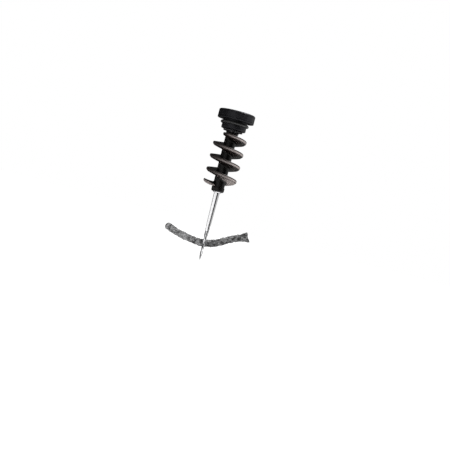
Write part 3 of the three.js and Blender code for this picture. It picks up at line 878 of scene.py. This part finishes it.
def plug_look():
    """Grey fibre impregnated with soft rubber, with drawn strands. It is painted darker to the right as
    painted shade, and is patchier there.
    """
    look = Look("fibre_and_rubber", Roughness=0.82, Sheen_Weight=0.25, Sheen_Roughness=0.5)
    fibres = look.noise(look.place((0.9, 5, 5)), 1.5, 8, 0.75)
    lumps = look.noise(look.place(), 0.5, 6, 0.65)
    strands = look.noise(look.slanted(-38, (0.3, 0.9, 1.1)), 1, 4, 0.6)
    mixed = look.sum((0.45, lumps), (0.3, strands), (0.25, fibres))
    fibre = look.blend(look.range(mixed, 0.44, 0.56, 0, 1), (0.025, 0.025, 0.026), (0.33, 0.33, 0.334))
    # Painted shade: the darker colour that the plug takes towards its right end.
    shaded_fibre = look.blend(look.range(mixed, 0.45, 0.57, 0, 1), (0.006, 0.006, 0.0065), (0.2, 0.2, 0.202))
    # Painted shade: how far the plug is painted darker, rising to the right.
    to_right = look.range(look.axes(look.place())["X"], -19, 2, 0, 1)
    look.set("Base Color", look.blend(to_right, fibre, shaded_fibre))
    look.bump(mixed, 0.22)
    return look.material


def dress(piece, material):
    """Gives a piece one material and no other."""
    piece.data.materials.clear()
    piece.data.materials.append(material)


# --- Stage -------------------------------------------------------------------------------------------

def stage_object(name, points, faces):
    """A new object of the stage, in metres."""
    mesh = bpy.data.meshes.new(name)
    mesh.from_pydata(points, [], faces)
    made = bpy.data.objects.new(name, mesh)
    bpy.context.scene.collection.objects.link(made)
    return made


def make_floor():
    """A round pale floor that glows more towards its far edge, so that no horizon shows.

    Reflections don't see it, so that the steel and the sleeve keep their dark undersides.
    """
    near, far, sides = 0.25, 8, 128
    points = [(0, 0, 0), *circle(near, 0, sides), *circle(far, 0, sides)]
    faces = []
    for i in range(sides):
        a, b = 1 + i, 1 + (i + 1) % sides
        faces += [(0, a, b), (a, a + sides, b + sides, b)]
    floor = stage_object("floor", points, faces)
    floor.location.z = (NEEDLE_TIP_Z - FLOOR_DROP) * MM
    floor.visible_glossy = False
    look = Look("pale_floor", Roughness=0.8, Specular_IOR_Level=0.2, Emission_Color=(1, 1, 1, 1))
    where = look.node("TexCoord").outputs["Object"]
    distance = look.node("VectorMath", {"operation": "LENGTH"}, i0=where).outputs["Value"]
    glow = look.range(distance, 0.12, 0.6, 0, 1)
    pale = look.blend(look.noise(where, 40, 3), (0.8, 0.8, 0.8), (0.84, 0.84, 0.84))
    look.set("Base Color", look.blend(glow, pale, (0.0, 0.0, 0.0)))
    look.set("Emission Strength", look.range(glow, 0, 1, FLOOR_GLOW_NEAR, FLOOR_GLOW_FAR))
    dress(floor, look.material)


def make_flag():
    """A dark card in front and to the right, seen only in reflections, for the needle's dark band."""
    angles = np.radians(np.linspace(FLAG_FROM, FLAG_TO, 24))
    points = [
        (FLAG_RADIUS * math.sin(a), -FLAG_RADIUS * math.cos(a), z)
        for a in angles for z in (FLAG_LOW, FLAG_HIGH)
    ]
    faces = [(2 * i, 2 * i + 2, 2 * i + 3, 2 * i + 1) for i in range(len(angles) - 1)]
    flag = stage_object("flag", points, faces)
    flag.visible_camera = False
    flag.visible_shadow = False
    look = Look(
        "dark_card", Base_Color=(0.01, 0.01, 0.01, 1), Roughness=0.9,
        Emission_Color=(1, 1, 1, 1), Emission_Strength=0.04,
    )
    dress(flag, look.material)


def area_light(name, place, aim, size, power):
    """A soft rectangular light that the camera doesn't see."""
    data = bpy.data.lights.new(name, "AREA")
    data.shape = "RECTANGLE"
    data.size, data.size_y = size
    data.energy = power
    light = bpy.data.objects.new(name, data)
    light.location = place
    light.rotation_mode = "QUATERNION"
    light.rotation_quaternion = (Vector(aim) - Vector(place)).to_track_quat("-Z", "Y")
    light.visible_camera = False
    bpy.context.scene.collection.objects.link(light)


def sky_level(tree):
    """The world's brightness as a light: bright below in front, pale at the right and dim elsewhere."""
    parts = tree.nodes.new("ShaderNodeSeparateXYZ")
    tree.links.new(tree.nodes.new("ShaderNodeTexCoord").outputs["Generated"], parts.inputs[0])

    def ramp(axis, low, high, to_low, to_high):
        """A smooth change of brightness along one axis of the direction."""
        node = tree.nodes.new("ShaderNodeMapRange")
        node.interpolation_type = "SMOOTHSTEP"
        tree.links.new(parts.outputs[axis], node.inputs["Value"])
        for key, value in (("From Min", low), ("From Max", high), ("To Min", to_low), ("To Max", to_high)):
            node.inputs[key].default_value = value
        return node.outputs["Result"]

    def combined(operation, first, second):
        node = tree.nodes.new("ShaderNodeMath")
        node.operation = operation
        tree.links.new(first, node.inputs[0])
        tree.links.new(second, node.inputs[1])
        return node.outputs[0]

    below = combined("MULTIPLY", ramp("Z", -0.75, -0.3, 2.6, 0), ramp("X", -0.6, 0.3, 0.2, 1))
    below = combined("MULTIPLY", below, ramp("Y", -0.2, 0.5, 1, 0.2))
    return combined("ADD", below, ramp("X", 0.3, 0.8, 0.05, 0.65))


def make_world():
    """White to the camera, and as bright as sky_level says to everything else."""
    world = bpy.data.worlds.new("studio")
    bpy.context.scene.world = world
    world.use_nodes = True
    tree = world.node_tree
    tree.nodes.clear()
    new, link = tree.nodes.new, tree.links.new
    lit, seen = new("ShaderNodeBackground"), new("ShaderNodeBackground")
    link(sky_level(tree), lit.inputs["Strength"])
    seen.inputs["Strength"].default_value = 1
    for background in (lit, seen):
        background.inputs["Color"].default_value = (1, 1, 1, 1)
    mix = new("ShaderNodeMixShader")
    link(new("ShaderNodeLightPath").outputs["Is Camera Ray"], mix.inputs[0])
    link(lit.outputs[0], mix.inputs[1])
    link(seen.outputs[0], mix.inputs[2])
    link(mix.outputs[0], new("ShaderNodeOutputWorld").inputs["Surface"])


# --- The whole scene ---------------------------------------------------------------------------------

plug = make_repair_plug()
sleeve = make_helix_sleeve()
needle = make_needle()
cap, disc, seal = make_cap(), make_disc(), make_o_ring()
ferrule, washer = make_ferrule(), make_washer()

dress(plug, plug_look())
dress(sleeve, sleeve_look())
dress(needle, steel_look("polished_steel", (0.8, 0.8, 0.81), 9, 0.1, 0.24))
dress(ferrule, steel_look("ferrule_steel", (0.75, 0.75, 0.76), 7, 0.2, 0.34))
dress(cap, anodised_look("black_anodised", (0.012, 0.012, 0.014), (0.03, 0.03, 0.034), 0.34))
dress(disc, anodised_look("dark_spun", (0.03, 0.03, 0.033), (0.06, 0.06, 0.065), 0.3))
dress(seal, rubber_look("seal_rubber", (0.016, 0.016, 0.016), 0.5))
dress(washer, rubber_look("washer_plastic", (0.022, 0.022, 0.024), 0.45))
fastener_steel = steel_look("zinc_steel", (0.55, 0.55, 0.56), 4, 0.28, 0.42)
for name in ("cap_screw", "screw_washer", "needle_pin"):
    dress(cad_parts[name], fastener_steel)
dress(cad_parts["core_shaft"], steel_look("turned_aluminium", (0.65, 0.65, 0.66), 5, 0.28, 0.4))

make_floor()
make_world()
make_flag()
for light in LIGHTS:
    area_light(*light)
bpy.context.scene.view_settings.view_transform = "Standard"
